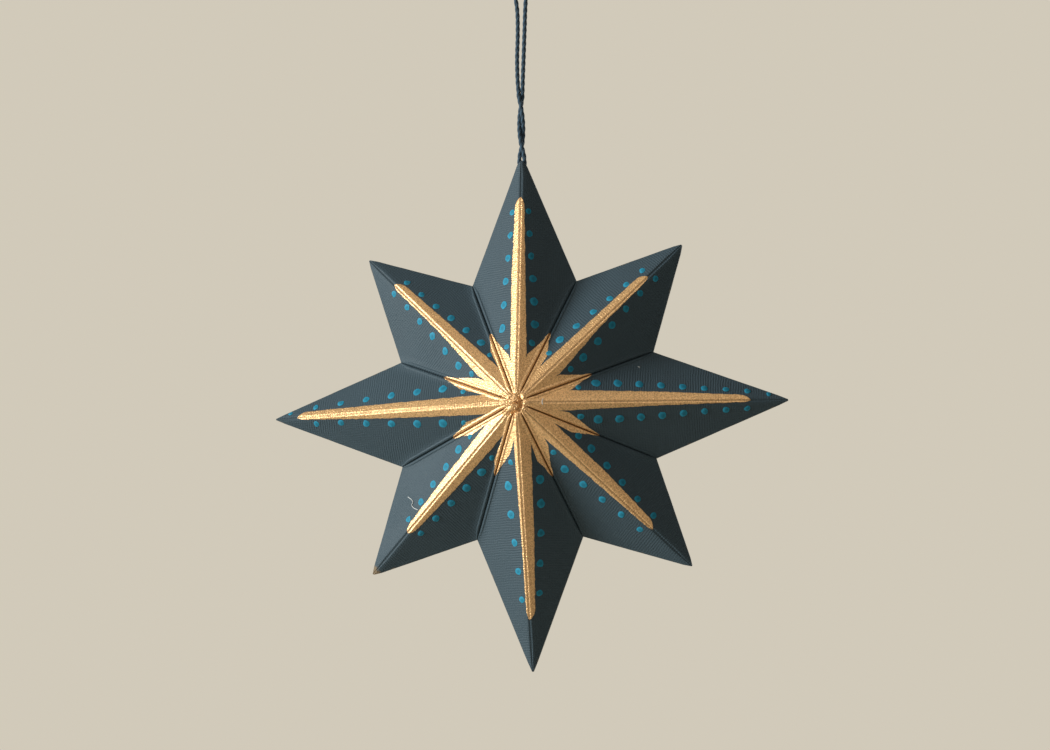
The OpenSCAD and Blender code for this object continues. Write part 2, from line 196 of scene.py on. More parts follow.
class PaintSizes(bpy.types.PropertyGroup):
    """The paint and the twine."""

    gold_lift: measure("Gold Lift", "Thickness of the gold paint", 0.00011)
    dot: measure("Dot", "Width of the largest dots", 0.0032)
    dot_lift: measure("Dot Lift", "How far a dot's top stands above its facet", 0.0002)
    twine: measure("Twine", "Width of the twisted twine", 0.00152)
    twine_pitch: measure("Twine Pitch", "Length of one full turn of the plies", 0.0046)
    lint: measure("Lint", "Width of a stray fibre", 0.00026)


class StarColours(bpy.types.PropertyGroup):
    """Base colours of the finishes."""

    card: shade("Card", "Dark blue card", (0.050, 0.077, 0.093))
    bare_card: shade("Bare Card", "Card where its dark face has worn off", (0.30, 0.21, 0.12))
    gold: shade("Gold", "Gold paint", (0.98, 0.60, 0.27))
    teal: shade("Teal", "Teal paint", (0.02, 0.28, 0.42))
    twine: shade("Twine", "Dark blue twine", (0.024, 0.05, 0.074))
    backdrop: shade("Backdrop", "Pale warm backdrop and floor", (0.64, 0.59, 0.49))


# ---- node trees as expressions


class Value:
    """A node's output. Arithmetic on it adds Math nodes to its tree."""

    def __init__(self, maker, socket):
        self.maker = maker
        self.socket = socket


def arithmetic(operation):
    """A Value's method for one Math node, and the method for when the Value comes second."""
    return (
        lambda value, other: value.maker.math(operation, value, other),
        lambda value, other: value.maker.math(operation, other, value),
    )


Value.__add__, Value.__radd__ = arithmetic("ADD")
Value.__sub__, Value.__rsub__ = arithmetic("SUBTRACT")
Value.__mul__, Value.__rmul__ = arithmetic("MULTIPLY")
Value.__truediv__ = arithmetic("DIVIDE")[0]
Value.__pow__ = arithmetic("POWER")[0]


class Maker:
    """Adds nodes to one shader or geometry tree."""

    def __init__(self, tree):
        self.tree = tree

    def node(self, kind, settings=None, inputs=None):
        """A new node: its settings first, then the values or links of its sockets."""
        made = self.tree.nodes.new(kind)
        for name, value in (settings or {}).items():
            setattr(made, name, value)
        for name, value in (inputs or {}).items():
            if isinstance(value, Value):
                self.tree.links.new(value.socket, made.inputs[name])
            else:
                made.inputs[name].default_value = value
        return made

    def add(self, kind, settings=None, inputs=None, output=0):
        return Value(self, self.node(kind, settings, inputs).outputs[output])

    def math(self, operation, *values):
        return self.add("ShaderNodeMath", {"operation": operation}, dict(enumerate(values)))

    def clamp(self, value):
        """The value, held between 0 and 1."""
        settings = {"operation": "ADD", "use_clamp": True}
        return self.add("ShaderNodeMath", settings, {0: value, 1: 0.0})

    def ease(self, value):
        """The value held between 0 and 1, with soft ends."""
        t = self.clamp(value)
        return t * t * (3.0 - 2.0 * t)

    def step(self, value, low, high):
        """0 below low and 1 above high, with soft ends; low may be the greater."""
        return self.ease((value - low) / (high - low))

    def vector(self, x=0.0, y=0.0, z=0.0):
        return self.add("ShaderNodeCombineXYZ", None, {0: x, 1: y, 2: z})

    def split(self, vector):
        made = self.node("ShaderNodeSeparateXYZ", None, {0: vector})
        return [Value(self, socket) for socket in made.outputs]

    def noise(self, vector, scale, seed=0.0, detail=2.0, roughness=0.5):
        """Smooth noise between 0 and 1."""
        return self.add(
            "ShaderNodeTexNoise", {"noise_dimensions": "4D"},
            {"Vector": vector, "W": seed, "Scale": scale, "Detail": detail, "Roughness": roughness},
        )

    def sway(self, vector, scale, seed=0.0, detail=2.0, roughness=0.5):
        """Smooth noise between -0.5 and 0.5."""
        return self.noise(vector, scale, seed, detail, roughness) - 0.5

    def blend(self, factor, first, second):
        """One colour fading into another."""
        return self.add(
            "ShaderNodeMix", {"data_type": "RGBA"}, {0: factor, 6: first, 7: second}, 2
        )


def rgba(colour, share=1.0):
    return (colour[0] * share, colour[1] * share, colour[2] * share, 1.0)


def add_sockets(tree, way, names, kind="NodeSocketFloat"):
    for name in names:
        tree.interface.new_socket(name, in_out=way, socket_type=kind)


def new_tree(name, sizes):
    """A geometry tree with a named input for each size: its maker and its inputs."""
    tree = bpy.data.node_groups.new(name, "GeometryNodeTree")
    add_sockets(tree, "INPUT", ["Geometry"], "NodeSocketGeometry")
    add_sockets(tree, "OUTPUT", ["Geometry"], "NodeSocketGeometry")
    add_sockets(tree, "INPUT", sizes)
    maker = Maker(tree)
    entry = maker.node("NodeGroupInput")
    return maker, {s.name: Value(maker, s) for s in entry.outputs if s.name}


def keep(maker, geometry, **values):
    """Keeps values on each point, for the material to read."""
    for name, value in values.items():
        geometry = maker.add(
            "GeometryNodeStoreNamedAttribute", {"data_type": "FLOAT", "domain": "POINT"},
            {"Geometry": geometry, "Name": name, "Value": value},
        )
    return geometry


def stored(maker, name, kind="FLOAT"):
    return maker.add("GeometryNodeInputNamedAttribute", {"data_type": kind}, {"Name": name})


def moved(maker, geometry, place):
    """The geometry with each of its points at its new place."""
    return maker.add("GeometryNodeSetPosition", None, {"Geometry": geometry, "Position": place})


def merged(maker, geometry, distance):
    inputs = {"Geometry": geometry, "Distance": distance}
    return maker.add("GeometryNodeMergeByDistance", None, inputs)


def made_real(maker, geometry):
    return maker.add("GeometryNodeRealizeInstances", None, {"Geometry": geometry})


def circle(maker, points, radius):
    inputs = {"Resolution": points, "Radius": radius}
    return maker.add("GeometryNodeCurvePrimitiveCircle", None, inputs)


def swept(maker, curve, section):
    """A closed tube of the section along the curve."""
    inputs = {"Curve": curve, "Profile Curve": section, "Fill Caps": True}
    return maker.add("GeometryNodeCurveToMesh", None, inputs)


def numbered_grid(maker, columns, rows):
    """A grid of faces, with the numbers of the column and the row that a point is on."""
    grid = maker.add(
        "GeometryNodeMeshGrid", None,
        {"Size X": 1.0, "Size Y": 1.0, "Vertices X": columns + 1, "Vertices Y": rows + 1},
    )
    x, y, _ = maker.split(maker.add("GeometryNodeInputPosition"))
    column = maker.math("ROUND", (x + 0.5) * columns)
    return grid, column, maker.math("ROUND", (y + 0.5) * rows)


def beside_fold(maker, fold, along, across):
    """The x and y of a place by a fold, then the cosine and the sine of the fold's direction."""
    angle = fold * STEP + QUARTER_TURN
    cos, sin = maker.math("COSINE", angle), maker.math("SINE", angle)
    return along * cos - across * sin, along * sin + across * cos, cos, sin


def close_tree(maker, geometry, material, turn=FACING_FRONT, lift=CENTRE_HEIGHT):
    """Turns and lifts what a tree made, makes it real and gives it its material."""
    placed = maker.add(
        "GeometryNodeTransform", None,
        {"Geometry": geometry, "Rotation": turn, "Translation": (0.0, 0.0, lift)},
    )
    smooth = maker.add("GeometryNodeSetShadeSmooth", None, {"Geometry": made_real(maker, placed)})
    dressed = maker.add("GeometryNodeSetMaterial", None, {"Geometry": smooth, "Material": material})
    maker.node("NodeGroupOutput", None, {0: dressed})


def bake(name, start, tree, sizes, sharp=math.radians(40)):
    """Runs a tree on a starting mesh or curve and keeps what it makes as a plain mesh."""
    maker_object = bpy.data.objects.new(name + "_start", start)
    bpy.context.scene.collection.objects.link(maker_object)
    shape = maker_object.modifiers.new("shape", "NODES")
    shape.node_group = tree
    for item in tree.interface.items_tree:
        if item.item_type == "SOCKET" and item.in_out == "INPUT" and item.name in sizes:
            shape[item.identifier] = float(sizes[item.name])
    depsgraph = bpy.context.evaluated_depsgraph_get()
    mesh = bpy.data.meshes.new_from_object(
        maker_object.evaluated_get(depsgraph), preserve_all_data_layers=True, depsgraph=depsgraph
    )
    bpy.data.objects.remove(maker_object)
    if not mesh.polygons:
        raise RuntimeError(f"{name}: its tree made no faces")
    mesh.name = name
    mesh.set_sharp_from_angle(angle=sharp)
    made = bpy.data.objects.new(name, mesh)
    bpy.context.scene.collection.objects.link(made)
    return made


def start_mesh(name, places, values):
    """A mesh of loose points with named values on them."""
    mesh = bpy.data.meshes.new(name)
    mesh.from_pydata(places, [], [])
    for key, column in values.items():
        if isinstance(column[0], tuple):
            layer = mesh.attributes.new(key, "FLOAT_VECTOR", "POINT")
            layer.data.foreach_set("vector", [x for row in column for x in row])
        else:
            layer = mesh.attributes.new(key, "FLOAT", "POINT")
            layer.data.foreach_set("value", column)
    return mesh


# ---- the card's surface

CARD_SIZES = ["Long Point", "Short Point", "Notch", "Peak", "Edge", "Seed"]
# Crease says how near a place is to the bottom of a fold's crease, for the painted shade there
CARD_RESULTS = ["Height", "Share", "Along", "Across", "Crease"]
SHELL_SIZES = ["Card", "Tip Wear", "Top Wear"]


def card_sizes(sizes, seed, *more):
    """The sizes under their inputs' names, with the seed of one half's unevenness."""
    names = [*CARD_SIZES[:-1], *more]
    return {"Seed": seed, **{n: getattr(sizes, n.lower().replace(" ", "_")) for n in names}}


def fold_scale(maker, share):
    """The folds grow from nothing at the nub and flatten again towards the tips."""
    fade = maker.clamp((share - TIP_FADE) / (1 - TIP_FADE))
    return maker.clamp(share / FULL_FOLD) * (1.0 - (1 - TIP_FOLDS) * fade)


def card_group():
    """The height of the folded card over the seam, at a place in the star's plane."""
    if "card surface" in bpy.data.node_groups:
        return bpy.data.node_groups["card surface"]
    tree = bpy.data.node_groups.new("card surface", "GeometryNodeTree")
    add_sockets(tree, "INPUT", ["X", "Y", *CARD_SIZES])
    add_sockets(tree, "OUTPUT", CARD_RESULTS)
    m = Maker(tree)
    entry = m.node("NodeGroupInput")
    x, y, long_point, short_point, notch, peak, edge, seed = (
        Value(m, entry.outputs[name]) for name in ["X", "Y", *CARD_SIZES]
    )

    # Which ridge is nearest, and the place along and across it
    radius = m.math("SQRT", x * x + y * y)
    turn = (m.math("ARCTAN2", y, x) - QUARTER_TURN) / (2 * STEP)
    nearest = m.math("ROUND", turn)
    off = (turn - nearest) * (2 * STEP)
    gap = m.math("ABSOLUTE", off)
    short = m.math("PINGPONG", nearest, 1.0)
    point = long_point + (short_point - long_point) * short
    along = radius * m.math("COSINE", gap)
    across = radius * m.math("SINE", gap)
    notch_across = notch * math.sin(STEP)
    notch_along = notch * math.cos(STEP)
    share = (along * notch_across + across * (point - notch_along)) / (point * notch_across)

    # The facets, the nub at the peak with the crease round its lower right, and both folds
    nub_x = x + NUB_LEFT
    on_nub = m.math("SQRT", nub_x * nub_x + y * y) / NUB_RADIUS
    dome = m.math("SQRT", m.clamp(1.0 - on_nub * on_nub)) * NUB_RISE
    flat_top = peak - (peak - edge) * NUB_RADIUS / long_point - NUB_SINK
    lower_right = m.clamp((x - y) / (2.2 * NUB_RADIUS) + 0.5)
    ring = m.ease(1.0 - m.math("ABSOLUTE", on_nub - NUB_RING) / NUB_RING_HALF)
    crease = ring * (lower_right * 0.85 + 0.15)
    level = m.math("MINIMUM", peak - (peak - edge) * share, flat_top) + dome - crease * NUB_CREASE
    scale = fold_scale(m, share)
    scale = scale * m.step(radius, NUB_RADIUS * 0.8, NUB_RADIUS * 1.5)
    dip = m.ease(1.0 - across / (RIDGE_HALF * scale + TINY)) * scale * RIDGE_DEPTH
    beside = radius * m.math("SINE", STEP - gap) / (VALLEY_HALF * scale + TINY)
    lips = m.ease((1.0 - beside) * LIP_SHARPNESS) * VALLEY_LIP
    valley = lips - m.ease(1.0 - beside * GROOVE_SHARPNESS) * VALLEY_GROOVE

    # Hand-folded unevenness: slow waves on the facets, sharper crumples round the nub
    place = m.vector(x, y)
    waves = m.sway(place, 70.0, seed) * (0.28 * MM)
    small = m.sway(place, 330.0, seed + 7.0) * (0.07 * MM)
    crushed = m.step(radius, CRUMPLE_RADIUS, NUB_RADIUS * 0.5)
    round_nub = m.vector(radius, off * 0.0016, nearest * 0.37)
    rings = m.math("ABSOLUTE", m.sway(round_nub, 1150.0, seed + 3.0, 2.0, 0.55))
    dents = m.math("ABSOLUTE", m.sway(place, 520.0, seed + 5.0, 3.0, 0.55))
    wrinkles = rings * -CRUMPLE_FOLD + dents * -CRUMPLE_FOLD + CRUMPLE_LEVEL
    crumple = crushed * wrinkles * MM
    inset = m.clamp((1.0 - share) * 12.0)
    height = level - dip + valley * scale + (waves + small) * inset + crumple

    # How near a place is to the bottom of a fold's crease, where the materials paint shade
    in_valley = m.ease(1.0 - beside * 4.0)
    in_ridge = m.ease(1.0 - across / RIDGE_SHADE_HALF) * 0.7
    crease_shade = m.math("MAXIMUM", in_valley, in_ridge) * m.clamp(scale * 3.0)
    m.node("NodeGroupOutput", None, dict(zip(CARD_RESULTS, (height, share, along, across, crease_shade))))
    return tree


def on_card(maker, x, y, entry):
    """What the card's surface gives at a place, by the names of its results."""
    inputs = {"X": x, "Y": y, **{name: entry[name] for name in CARD_SIZES}}
    made = maker.node("GeometryNodeGroup", {"node_tree": card_group()}, inputs)
    return {name: Value(maker, made.outputs[name]) for name in CARD_RESULTS}


# ---- finishes

RIB_SPACING = 0.8 * MM
LINE_SPACING = 0.7 * MM
GOLD_HOLLOW_SHADE = (0.34, 0.16, 0.06, 1.0)
GOLD_THIN = (0.42, 0.22, 0.09, 1.0)
GOLD_RIM = (0.30, 0.16, 0.07, 1.0)
GOLD_CREASE_SHADE = (0.12, 0.06, 0.025, 1.0)
LINT_DARK = (0.55, 0.55, 0.52, 1.0)
LINT_PALE = (0.8, 0.8, 0.76, 1.0)

# The tip worn bare: its place across and up, and how far round it the card is bare and dark
BARE_TIP = (-0.0525, CENTRE_HEIGHT - 0.0525)
BARE_WITHIN = 1.8 * MM
DARK_BEYOND = 3.4 * MM


def new_material(name):
    material = bpy.data.materials.new(name)
    material.use_nodes = True
    material.node_tree.nodes.clear()
    return material, Maker(material.node_tree)


def finish(material, m, inputs):
    """The material with its one shader."""
    shader = m.add("ShaderNodeBsdfPrincipled", None, inputs)
    m.node("ShaderNodeOutputMaterial", None, {"Surface": shader})
    return material


def read(m, name):
    """A value kept on the mesh."""
    return m.add("ShaderNodeAttribute", {"attribute_name": name}, None, "Fac")


def object_place(m):
    return m.add("ShaderNodeTexCoord", None, None, "Object")


def raised(m, height, strength, distance):
    """The surface's normal, tilted by a fine relief."""
    return m.add(
        "ShaderNodeBump", None, {"Height": height, "Strength": strength, "Distance": distance}
    )


def laid_lines(m, place):
    """The card's fine relief: ribs across each point, lines along it, grain, and the ribs' lead."""
    drift = m.noise(place, 260.0, 1.0)
    ribs = m.math("SINE", read(m, "along") * (2 * math.pi / RIB_SPACING) + drift * 9.0)
    lines = m.math("SINE", read(m, "across") * (2 * math.pi / LINE_SPACING) + drift * 11.0)
    grain = m.noise(place, 2600.0, 2.0, 3.0, 0.6)
    patch = m.step(m.noise(place, 60.0, 5.0), 0.38, 0.62)
    return ribs * (0.25 + 0.55 * patch), lines * (0.35 - 0.2 * patch), grain, patch


def card_material(colours):
    """Dark blue card with a laid face, worn edges and one bare tip."""
    material, m = new_material("dark_card")
    place = object_place(m)
    ribs, lines, grain, _ = laid_lines(m, place)
    weave = (ribs + lines) * 0.5

    tone = m.noise(place, 45.0, 11.0, 3.0, 0.6)
    dust = m.step(m.noise(place, 1500.0, 21.0, 2.0, 0.6), 0.66, 0.78)
    colour = m.blend(tone, rgba(colours.card, 0.82), rgba(colours.card, 1.16))
    colour = m.blend(m.clamp(weave * 0.5 + 0.3) * 0.35, colour, rgba(colours.card, 1.5))
    colour = m.blend(dust * 0.16, colour, rgba(colours.bare_card, 1.1))
    # Painted shade: the card darkens towards the bottom of each fold's crease
    colour = m.blend(read(m, "crease") * 0.7, colour, rgba(colours.card, 0.3))

    # The cut edge is bare in flecks, and the lower left tip is bare right across
    at_edge = m.step(read(m, "share"), 0.988, 0.999)
    flecks = m.step(m.noise(place, 420.0, 31.0, 3.0, 0.6), 0.56, 0.66)
    x, _, z = m.split(place)
    off_x, off_z = x - BARE_TIP[0], z - BARE_TIP[1]
    tip_gap = m.math("SQRT", off_x * off_x + off_z * off_z)
    ragged_gap = tip_gap + m.sway(place, 900.0, 3.0, 2.0, 0.6) * (4.0 * MM)
    worn_tip = m.step(ragged_gap, DARK_BEYOND, BARE_WITHIN)
    bare = m.math("MAXIMUM", at_edge * flecks * 0.5, worn_tip * 0.9)
    return finish(material, m, {
        "Base Color": m.blend(bare, colour, rgba(colours.bare_card)),
        "Roughness": 0.56 + (tone - 0.5) * 0.16 + bare * 0.2,
        "Specular IOR Level": 0.26,
        "Normal": raised(m, weave * 0.45 + grain * 0.8, 1.0, 0.2 * MM),
    })


def gold_material(colours):
    """Pebbled gold paint on the laid card, with painted shade browning its hollows and creases."""
    material, m = new_material("painted_gold")
    place = object_place(m)
    ribs, lines, grain, patch = laid_lines(m, place)
    pebbles = m.noise(place, 2100.0, 41.0, 2.0, 0.6)
    high = m.step(pebbles, 0.36, 0.60)
    thin = m.step(m.noise(place, 240.0, 43.0, 3.0, 0.6), 0.56, 0.74)
    rim = m.step(read(m, "edge"), 0.9, 1.0)

    # Painted shade: the pebbles' hollows go brown, their high spots keep the full gold
    colour = m.blend(high * 0.55 + 0.45, GOLD_HOLLOW_SHADE, rgba(colours.gold))
    colour = m.blend(thin * 0.22, colour, GOLD_THIN)
    colour = m.blend(rim * 0.3, colour, GOLD_RIM)
    # Painted shade: the gold goes dark brown towards the bottom of each fold's crease
    colour = m.blend(read(m, "crease") * 0.85, colour, GOLD_CREASE_SHADE)
    height = pebbles * 0.9 + ribs * (0.04 + 0.06 * patch) + lines * 0.04 + grain * 0.15
    return finish(material, m, {
        "Base Color": colour,
        "Metallic": 0.7,
        "Roughness": 0.43 - high * 0.08,
        "Coat Weight": 0.5,
        "Coat Roughness": 0.36,
        "Normal": raised(m, height, 0.9, 0.34 * MM),
    })


def teal_material(colours):
    """Teal drops, darker in the middle where the paint sank."""
    material, m = new_material("painted_teal")
    place = object_place(m)
    middle = m.step(read(m, "from_centre") + m.sway(place, 1300.0) * 0.5, 0.75, 0.25)
    mottle = m.noise(place, 900.0, 51.0, 3.0, 0.6)
    colour = m.blend(mottle, rgba(colours.teal, 0.8), rgba(colours.teal, 1.25))
    return finish(material, m, {
        "Base Color": m.blend(middle * 0.6, colour, rgba(colours.teal, 0.5)),
        "Roughness": 0.6 + mottle * 0.12,
        "Specular IOR Level": 0.3,
        "Normal": raised(m, mottle, 0.6, 0.12 * MM),
    })


def twine_material(colours):
    """Dark blue yarn: fibres along the plies, painted highlight on their crowns, shade between."""
    material, m = new_material("blue_yarn")
    along_ply = m.vector(read(m, "ply") * 5.0, read(m, "run") * 900.0)
    fibre = m.noise(along_ply, 3.0, 61.0, 3.0, 0.6)
    # Painted highlight and shade: each ply's crown is lighter, the waist between the plies darker
    pale = m.clamp(read(m, "crown") * 0.8 + (fibre - 0.5) * 0.9)
    return finish(material, m, {
        "Base Color": m.blend(pale, rgba(colours.twine, 0.55), rgba(colours.twine, 2.2)),
        "Roughness": 0.8,
        "Normal": raised(m, fibre, 0.6, 0.08 * MM),
    })


def lint_material():
    """Dull white fibre."""
    material, m = new_material("white_lint")
    tone = m.noise(object_place(m), 2000.0, 71.0)
    colour = m.blend(tone, LINT_DARK, LINT_PALE)
    return finish(material, m, {"Base Color": colour, "Roughness": 0.7})


def made_once(name, make, *values):
    return bpy.data.materials.get(name) or make(*values)


# ---- the two card halves

RIDGE_COLUMNS = 5
FACET_COLUMNS = 26
VALLEY_COLUMNS = 9
OUTER_ROWS = 110
INNER_ROWS = 5
RIM_ROWS = 4
ROW_CROWDING = 1.25

# The cut edge: its bevel as a share of the slope, the heights of the two rows that round it down
# to the seam, how far it wanders, and how far the halves part at the top tip
BEVEL = 0.0047
ROUND_UPPER = 0.38 * MM
ROUND_LOWER = 0.15 * MM
EDGE_WANDER = 0.45 * MM
TOP_PARTING = 0.45 * MM
PARTS_WITHIN = 10.0 * MM
PARTS_FULLY = 3.0 * MM
WELD = 0.002 * MM


def star_tree(name, material, turn):
    """One folded half as a closed shell: outer face, cut edge, seam land and hollow."""
    m, entry = new_tree(name, [*CARD_SIZES, *SHELL_SIZES])
    long_point, short_point, notch, peak, edge = (entry[n] for n in CARD_SIZES[:5])
    rows = OUTER_ROWS + RIM_ROWS + INNER_ROWS
    grid, column, row = numbered_grid(m, FOLDS * FACET_COLUMNS, rows)

    # Columns run from a ridge to a valley, closer together in the folds
    facet = m.math("FLOOR", (column + 0.25) / FACET_COLUMNS)
    part = column / FACET_COLUMNS - facet
    odd = m.math("FLOORED_MODULO", facet, 2.0)
    from_ridge = part + odd * (1.0 - 2.0 * part)
    ridge = facet + odd
    side = 1.0 - 2.0 * odd
    short = m.math("PINGPONG", ridge / 2.0, 1.0)
    point = long_point + (short_point - long_point) * short

    # Rows run out from the peak, down the cut edge, along the seam and back in under the card
    past = row - OUTER_ROWS
    slope = (peak - edge) / (notch * math.sin(STEP)) * 1.2
    drop = entry["Card"] * m.math("SQRT", slope * slope * 0.45 + 1.0)
    hollow = (peak - drop) / (peak - edge)
    land = 1.0 - BEVEL - hollow
    inner = m.clamp((past - RIM_ROWS) / INNER_ROWS)
    share = (
        m.clamp(row / OUTER_ROWS) ** ROW_CROWDING
        - m.clamp(past - 2.0) * BEVEL
        - m.clamp(past - 3.0) * land
        - inner * hollow
    )

    # The place on the scaled outline's edge
    notch_across = notch * math.sin(STEP)
    run_in = point - notch * math.cos(STEP)
    edge_length = m.math("SQRT", run_in * run_in + notch_across * notch_across)
    scale = fold_scale(m, share)
    ridge_part = scale * RIDGE_HALF * edge_length / notch_across
    valley_part = scale * VALLEY_HALF * edge_length / (point * math.sin(STEP))
    whole = share * edge_length
    ridge_span = RIDGE_COLUMNS / FACET_COLUMNS
    valley_span = VALLEY_COLUMNS / FACET_COLUMNS
    middle_span = 1 - ridge_span - valley_span
    run = (
        ridge_part * m.clamp(from_ridge / ridge_span)
        + (whole - ridge_part - valley_part) * m.clamp((from_ridge - ridge_span) / middle_span)
        + valley_part * m.clamp((from_ridge - 1.0 + valley_span) / valley_span)
    )
    along = share * point - run * run_in / edge_length
    across = run * notch_across / edge_length

    # Tips are worn blunt, and the top one more
    is_top = m.math("COMPARE", m.math("FLOORED_MODULO", ridge, FOLDS), 0.0, 0.5)
    wear = entry["Tip Wear"] + (entry["Top Wear"] - entry["Tip Wear"]) * is_top
    along = m.math("MINIMUM", along, point - wear)
    x, y, cos, sin = beside_fold(m, ridge, along, side * across)

    results = on_card(m, x, y, entry)
    first, second, third = (m.clamp(past - behind) for behind in (0.0, 1.0, 2.0))
    height = (
        results["Height"] * (1.0 - first)
        + (first - second) * ROUND_UPPER
        + (second - third) * ROUND_LOWER
        + inner * (peak - drop)
    )

    # The halves part a little at the top tip, where the twine comes out between them
    into_top = (along - (long_point - PARTS_WITHIN)) / (PARTS_WITHIN - PARTS_FULLY)
    height = height + is_top * m.ease(into_top) * TOP_PARTING

    # The cut edge wanders a little, as scissors do
    wander = m.step(share, 0.9, 1.0) * EDGE_WANDER
    shift = m.sway(m.vector(x, y), 120.0, entry["Seed"] + 13.0) * wander
    place = m.vector(x + shift * cos, y + shift * sin, height)

    # What the material reads is kept before the points leave the grid
    kept = keep(m, grid, **{name.lower(): results[name] for name in CARD_RESULTS[1:]})
    close_tree(m, merged(m, moved(m, kept, place), WELD), material, turn)
    return m.tree


def turned_out(made):
    """Flips a closed mesh that came out inside out, which the sign of its volume tells."""
    made.data.calc_loop_triangles()
    spots = made.data.vertices
    corners = ([spots[i].co for i in face.vertices] for face in made.data.loop_triangles)
    if sum(a.dot(b.cross(c)) for a, b, c in corners) <= 0:
        made.data.flip_normals()
    return made


class OBJECT_OT_card_halves(bpy.types.Operator):
    """Fold the front and back halves of the star"""

    bl_idname = "object.card_halves"
    bl_label = "Card Halves"

    def execute(self, context):
        sizes = context.scene.star_sizes
        material = made_once("dark_card", card_material, context.scene.star_colours)
        for name, node, seed, turn in (
            ("front_star", "front_shell", 1.0, FACING_FRONT),
            ("back_star", "back_shell", 40.0, FACING_BACK),
        ):
            values = card_sizes(sizes, seed, *SHELL_SIZES)
            tree = star_tree(name + " folds", material, turn)
            start = bpy.data.meshes.new(name + "_start")
            half = turned_out(bake(name, start, tree, values))
            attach(half, BODY)
            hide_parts(node)
        return {"FINISHED"}


# ---- gold rays

TOP_COLUMNS = 24
RAY_LOOP = TOP_COLUMNS + 4
RAY_ROWS = 150
RAY_CROWDING = 1.1
SIDE_CROWDING = 1.3
RAY_STAGES = ("start", "middle", "end")

# Along a ray: where its first width is measured, how far before its end the last one is, and the
# length of its rounded cap
WIDTH_START = 16.0 * MM
WIDTH_END = 3.0 * MM
CAP_LENGTH = 3.6 * MM
RAGGED = ((330.0, 3.0, 0.7 * MM), (1700.0, 9.0, 0.55 * MM))
UNDER_DEPTH = 0.15 * MM


def tan_step(steps):
    return math.tan(steps * STEP)


def ray_values():
    """Each ray's own numbers, as columns for the points that the rays grow from."""
    rows = []
    for fold, (reach, clockwise, counter) in enumerate(RAYS):
        before = PARTINGS[fold - 1] - (FOLDS if fold == 0 else 0)
        row = {
            "fold": float(fold), "reach": reach * MM,
            "part_cw": tan_step(fold - before), "part_ccw": tan_step(PARTINGS[fold] - fold),
        }
        for side, widths in (("cw", clockwise), ("ccw", counter)):
            for stage, width in zip(RAY_STAGES, widths):
                row[f"{side}_{stage}"] = width * MM
        rows.append(row)
    return {key: [row[key] for row in rows] for key in rows[0]}


def gold_tree(material):
    """Sixteen painted rays over the folds, each a thin closed skin with ragged edges."""
    m, entry = new_tree("gold rays", [*CARD_SIZES, "Lift"])
    grid, column, row = numbered_grid(m, RAY_LOOP, RAY_ROWS)
    copies = m.add(
        "GeometryNodeInstanceOnPoints", None, {"Points": entry["Geometry"], "Instance": grid}
    )

    # Columns go over the ray's face and back underneath it
    beyond = column - TOP_COLUMNS
    beside = (
        m.math("MINIMUM", column * (2.0 / TOP_COLUMNS) - 1.0, 1.0)
        - m.clamp(beyond - 1.0)
        - m.clamp(beyond - 2.0)
    )
    under = m.clamp(beyond) - m.clamp(beyond - 3.0)
    reach, fold = stored(m, "reach"), stored(m, "fold")
    along = reach * (row / RAY_ROWS) ** RAY_CROWDING
    right = m.math("GREATER_THAN", beside, 0.0)
    sign = m.math("SIGN", beside)

    def either(clockwise, counter):
        """The value of the side that a point is on."""
        value = stored(m, clockwise)
        return value + (stored(m, counter) - value) * right

    # Half-width: the wedge between the partings, then a strip that narrows to a rounded end
    end = reach - WIDTH_END
    middle = (end + WIDTH_START) / 2.0
    wide, mid, narrow = (either("cw_" + s, "ccw_" + s) for s in RAY_STAGES)
    strip = (
        wide
        + (mid - wide) * m.clamp((along - WIDTH_START) / (middle - WIDTH_START))
        + (narrow - mid) * m.clamp((along - middle) / (end - middle))
    )
    cap = m.clamp((along - reach + CAP_LENGTH) / CAP_LENGTH)
    strip = strip * m.clamp(1.0 - cap * cap) ** 0.75
    wedge = along * either("part_cw", "part_ccw")

    # The brush left a ragged edge wherever a ray stands clear of its neighbours
    clear = m.clamp((wedge - strip) / (1.0 * MM))
    track = m.vector(along, sign * 0.1, fold)
    coarse, fine = (m.sway(track, scale, seed) * size for scale, seed, size in RAGGED)
    ragged = (coarse + fine) * (clear * m.clamp(strip / (0.5 * MM)))
    spread = m.math("ABSOLUTE", beside) ** SIDE_CROWDING
    across = sign * spread * (m.math("MINIMUM", wedge, strip) + ragged)

    x, y, _, _ = beside_fold(m, fold, along, across)
    results = on_card(m, x, y, entry)
    rounded = 1.0 - spread ** 6.0 * 0.45 * clear
    height = results["Height"] + entry["Lift"] * rounded * (1.0 - under) - under * UNDER_DEPTH
    # Kept for the material: the paint's edge, the place along and across, and the crease, where it
    # paints shade
    kept = keep(
        m, made_real(m, copies), edge=spread * clear,
        **{name.lower(): results[name] for name in ("Along", "Across", "Crease")},
    )
    close_tree(m, merged(m, moved(m, kept, m.vector(x, y, height)), WELD / 2), material)
    return m.tree


class OBJECT_OT_gold_rays(bpy.types.Operator):
    """Paint the gold starburst on the front half"""

    bl_idname = "object.gold_rays"
    bl_label = "Gold Rays"

    def execute(self, context):
        sizes = context.scene.star_sizes
        material = made_once("painted_gold", gold_material, context.scene.star_colours)
        start = start_mesh("gold_start", [(0.0, 0.0, 0.0)] * FOLDS, ray_values())
        values = {**card_sizes(sizes, 1.0), "Lift": context.scene.paint_sizes.gold_lift}
        gold = turned_out(bake("gold_rays", start, gold_tree(material), values))
        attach(gold, BODY)
        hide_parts("gold_starburst")
        return {"FINISHED"}


# ---- teal dots

DOT_SEGMENTS = 14
DOT_RINGS = 5
DOT_FLATNESS = 4.0
DOT_UNEVENNESS = 1.0 * MM


def lookup(value, table):
    """The table's value at a place, straight between its entries."""
    if value <= table[0][0]:
        return table[0][1]
    for (low, first), (high, second) in zip(table, table[1:]):
        if value <= high:
            return first + (second - first) * (value - low) / (high - low)
    return table[-1][1]


